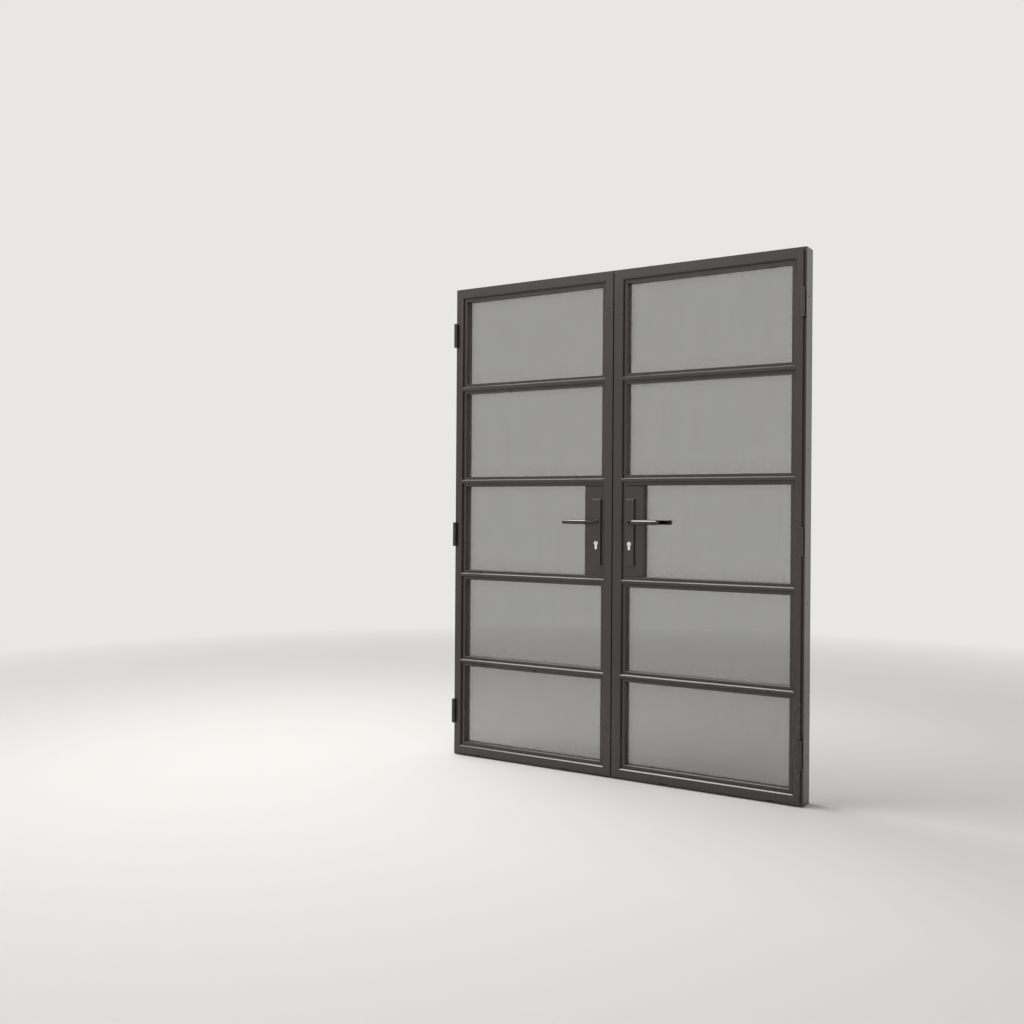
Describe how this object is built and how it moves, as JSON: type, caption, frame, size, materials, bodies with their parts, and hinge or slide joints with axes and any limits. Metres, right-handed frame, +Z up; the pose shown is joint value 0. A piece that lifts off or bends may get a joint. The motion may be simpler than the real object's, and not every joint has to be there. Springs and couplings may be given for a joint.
{
  "type": "french doors",
  "caption": "Pair of outward-opening French doors in a slim metal frame, each leaf glazed in stacked lites between stepped bars, with lever handles on long plates.",
  "frame": {"origin": "centre of the underside of the threshold", "axes": "+X along the opening, to the right seen from outside; +Y into the room; +Z up"},
  "size_m": [1.522, 0.1575, 2],
  "materials": {
    "profile": "fine satin powder coat, warm anthracite",
    "plate": "satin powder coat, warm anthracite",
    "lever": "dark polished metal",
    "cylinder": "satin nickel",
    "hinge": "satin powder coat",
    "pin": "darkened steel",
    "lock_steel": "zinc-plated steel",
    "spacer": "grey warm-edge spacer bar",
    "gasket": "matt black rubber",
    "glass": "clear double glazing"
  },
  "bodies": {
    "frame": {"frame_head": "profile", "frame_jamb_left": "profile", "frame_jamb_right": "profile", "threshold": "profile", "frame_seal": "gasket", "bolt_keeps": "lock_steel", "hinge_frame_halves": "hinge", "hinge_pins": "pin"},
    "left_leaf": {"left_stile_hinge": "profile", "left_stile_lock": "profile", "left_rail_top": "profile", "left_rail_bottom": "profile", "left_spacers": "spacer", "left_glazing_gaskets": "gasket", "left_glazing_beads": "profile", "left_lock_panel": "profile", "left_backplates": "plate", "left_key_cylinder": "cylinder", "left_hinge_halves": "hinge", "left_lock": "lock_steel", "left_meeting_seal": "gasket", "left_bar_1": "profile", "left_bar_2": "profile", "left_bar_3": "profile", "left_bar_4": "profile", "left_glass_1": "glass", "left_glass_2": "glass", "left_glass_3": "glass", "left_glass_4": "glass", "left_glass_5": "glass"},
    "left_handle": {"left_lever": "lever"},
    "left_key": {"left_key_plug": "cylinder"},
    "right_leaf": {"right_stile_hinge": "profile", "right_stile_lock": "profile", "right_rail_top": "profile", "right_rail_bottom": "profile", "right_spacers": "spacer", "right_glazing_gaskets": "gasket", "right_glazing_beads": "profile", "right_lock_panel": "profile", "right_backplates": "plate", "right_key_cylinder": "cylinder", "right_hinge_halves": "hinge", "right_lock": "lock_steel", "right_meeting_seal": "gasket", "right_bar_1": "profile", "right_bar_2": "profile", "right_bar_3": "profile", "right_bar_4": "profile", "right_glass_1": "glass", "right_glass_2": "glass", "right_glass_3": "glass", "right_glass_4": "glass", "right_glass_5": "glass"},
    "right_handle": {"right_lever": "lever"},
    "right_key": {"right_key_plug": "cylinder"},
    "right_deadbolt_pair": {"right_deadbolts": "lock_steel"},
    "right_latch_bolt": {"right_latch": "lock_steel"},
    "left_top_bolt": {"left_bolt_top": "lock_steel"},
    "left_bottom_bolt": {"left_bolt_bottom": "lock_steel"}
  },
  "joints": [
    {"name": "left_leaf_swing", "type": "hinge", "parent": "frame", "child": "left_leaf", "pos_m": [-0.752, -0.0547, 1], "axis": [0, 0, -1], "range_deg": [0, 100]},
    {"name": "left_lever_turn", "type": "hinge", "parent": "left_leaf", "child": "left_handle", "pos_m": [-0.0727, -0.044, 1.009], "axis": [0, -1, 0], "range_deg": [0, 40], "stiffness_Nm_per_rad": 1.6, "springref_deg": -34.38},
    {"name": "left_key_turn", "type": "hinge", "parent": "left_leaf", "child": "left_key", "pos_m": [-0.0727, -0.044, 0.924], "axis": [0, -1, 0], "range_deg": [0, 360]},
    {"name": "right_leaf_swing", "type": "hinge", "parent": "frame", "child": "right_leaf", "pos_m": [0.752, -0.0547, 1], "axis": [0, 0, 1], "range_deg": [0, 100]},
    {"name": "right_lever_turn", "type": "hinge", "parent": "right_leaf", "child": "right_handle", "pos_m": [0.0727, -0.044, 1.009], "axis": [0, 1, 0], "range_deg": [0, 40], "stiffness_Nm_per_rad": 1.6, "springref_deg": -34.38},
    {"name": "right_key_turn", "type": "hinge", "parent": "right_leaf", "child": "right_key", "pos_m": [0.0727, -0.044, 0.924], "axis": [0, 1, 0], "range_deg": [0, 360]},
    {"name": "right_deadbolt_throw", "type": "slide", "parent": "right_leaf", "child": "right_deadbolt_pair", "axis": [-1, 0, 0], "range_m": [0, 0.02]},
    {"name": "right_latch_throw", "type": "slide", "parent": "right_leaf", "child": "right_latch_bolt", "axis": [-1, 0, 0], "range_m": [0, 0.01]},
    {"name": "left_top_bolt_throw", "type": "slide", "parent": "left_leaf", "child": "left_top_bolt", "axis": [0, 0, 1], "range_m": [0, 0.015]},
    {"name": "left_bottom_bolt_throw", "type": "slide", "parent": "left_leaf", "child": "left_bottom_bolt", "axis": [0, 0, -1], "range_m": [0, 0.014]}
  ],
  "couplings": [
    {"joint": "right_key_turn", "follows": "right_deadbolt_throw", "rad_per_m": 314.15},
    {"joint": "left_key_turn", "follows": "left_top_bolt_throw", "rad_per_m": 418.86},
    {"joint": "left_bottom_bolt_throw", "follows": "left_top_bolt_throw", "ratio": 0.933}
  ]
}
